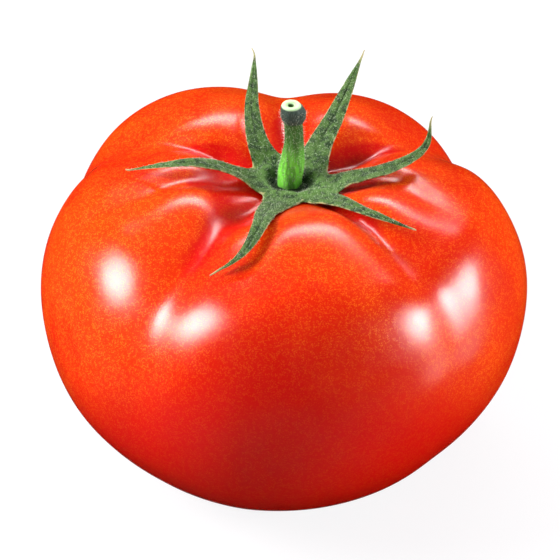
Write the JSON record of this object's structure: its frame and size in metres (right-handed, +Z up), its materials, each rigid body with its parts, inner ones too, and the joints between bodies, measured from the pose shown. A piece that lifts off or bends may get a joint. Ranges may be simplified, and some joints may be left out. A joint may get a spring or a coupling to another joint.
{
  "type": "tomato",
  "caption": "Ripe ribbed beefsteak tomato with furrowed shoulders, a green leafy calyx and a short cut stalk, standing on the small flat spot at its blossom end.",
  "frame": {"origin": "on the surface that the tomato stands on, under the middle of the fruit's outline seen from above", "axes": "+Z up along the stalk, -Y towards the side seen from the front, +X to the right"},
  "size_m": [0.092, 0.0938, 0.0742],
  "materials": {
    "fruit_skin": "gloss",
    "calyx_leaf": "matte",
    "stalk_green": "matte"
  },
  "bodies": {
    "root": {"fruit": "fruit_skin", "calyx_base": "calyx_leaf", "sepal_back_left": "calyx_leaf", "sepal_left": "calyx_leaf", "sepal_front_left": "calyx_leaf", "sepal_front_right": "calyx_leaf", "sepal_right": "calyx_leaf", "sepal_back_right": "calyx_leaf", "stalk": "stalk_green"}
  },
  "joints": []
}
